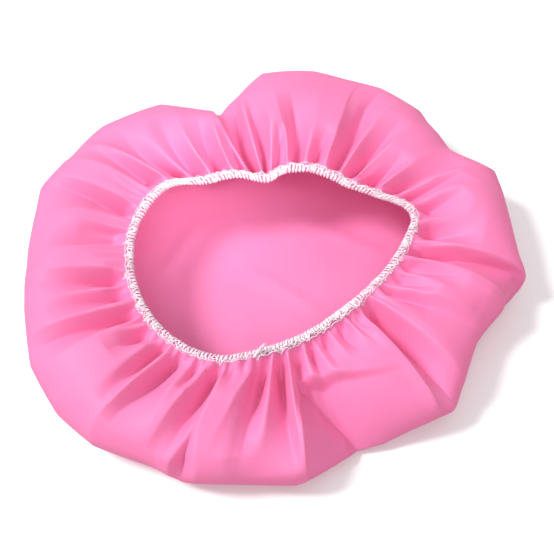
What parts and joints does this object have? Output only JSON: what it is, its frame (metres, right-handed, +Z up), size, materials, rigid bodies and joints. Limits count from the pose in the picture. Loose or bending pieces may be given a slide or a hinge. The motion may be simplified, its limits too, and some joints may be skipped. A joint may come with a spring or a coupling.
{
  "type": "shower cap",
  "caption": "Gathered cloth shower cap lying crown down, its elastic opening overlocked all round and facing up.",
  "frame": {"origin": "on the resting surface, under the middle of the lying cap", "axes": "+Z up out of the crown, with the opening facing up; +X along the longer side of the lying cap; -Y is the front, where the seam's two ends overlap"},
  "size_m": [0.2892, 0.283, 0.053],
  "materials": {
    "cap_cloth": "thin coated polyester taffeta, softly shiny",
    "elastic_band": "flat braided white elastic",
    "sewing_thread": "spun white polyester sewing thread"
  },
  "bodies": {
    "root": {"cap_fabric": "cap_cloth", "hem_elastic": "elastic_band", "needle_thread": "sewing_thread", "upper_looper_thread": "sewing_thread", "lower_looper_thread": "sewing_thread"}
  },
  "joints": []
}
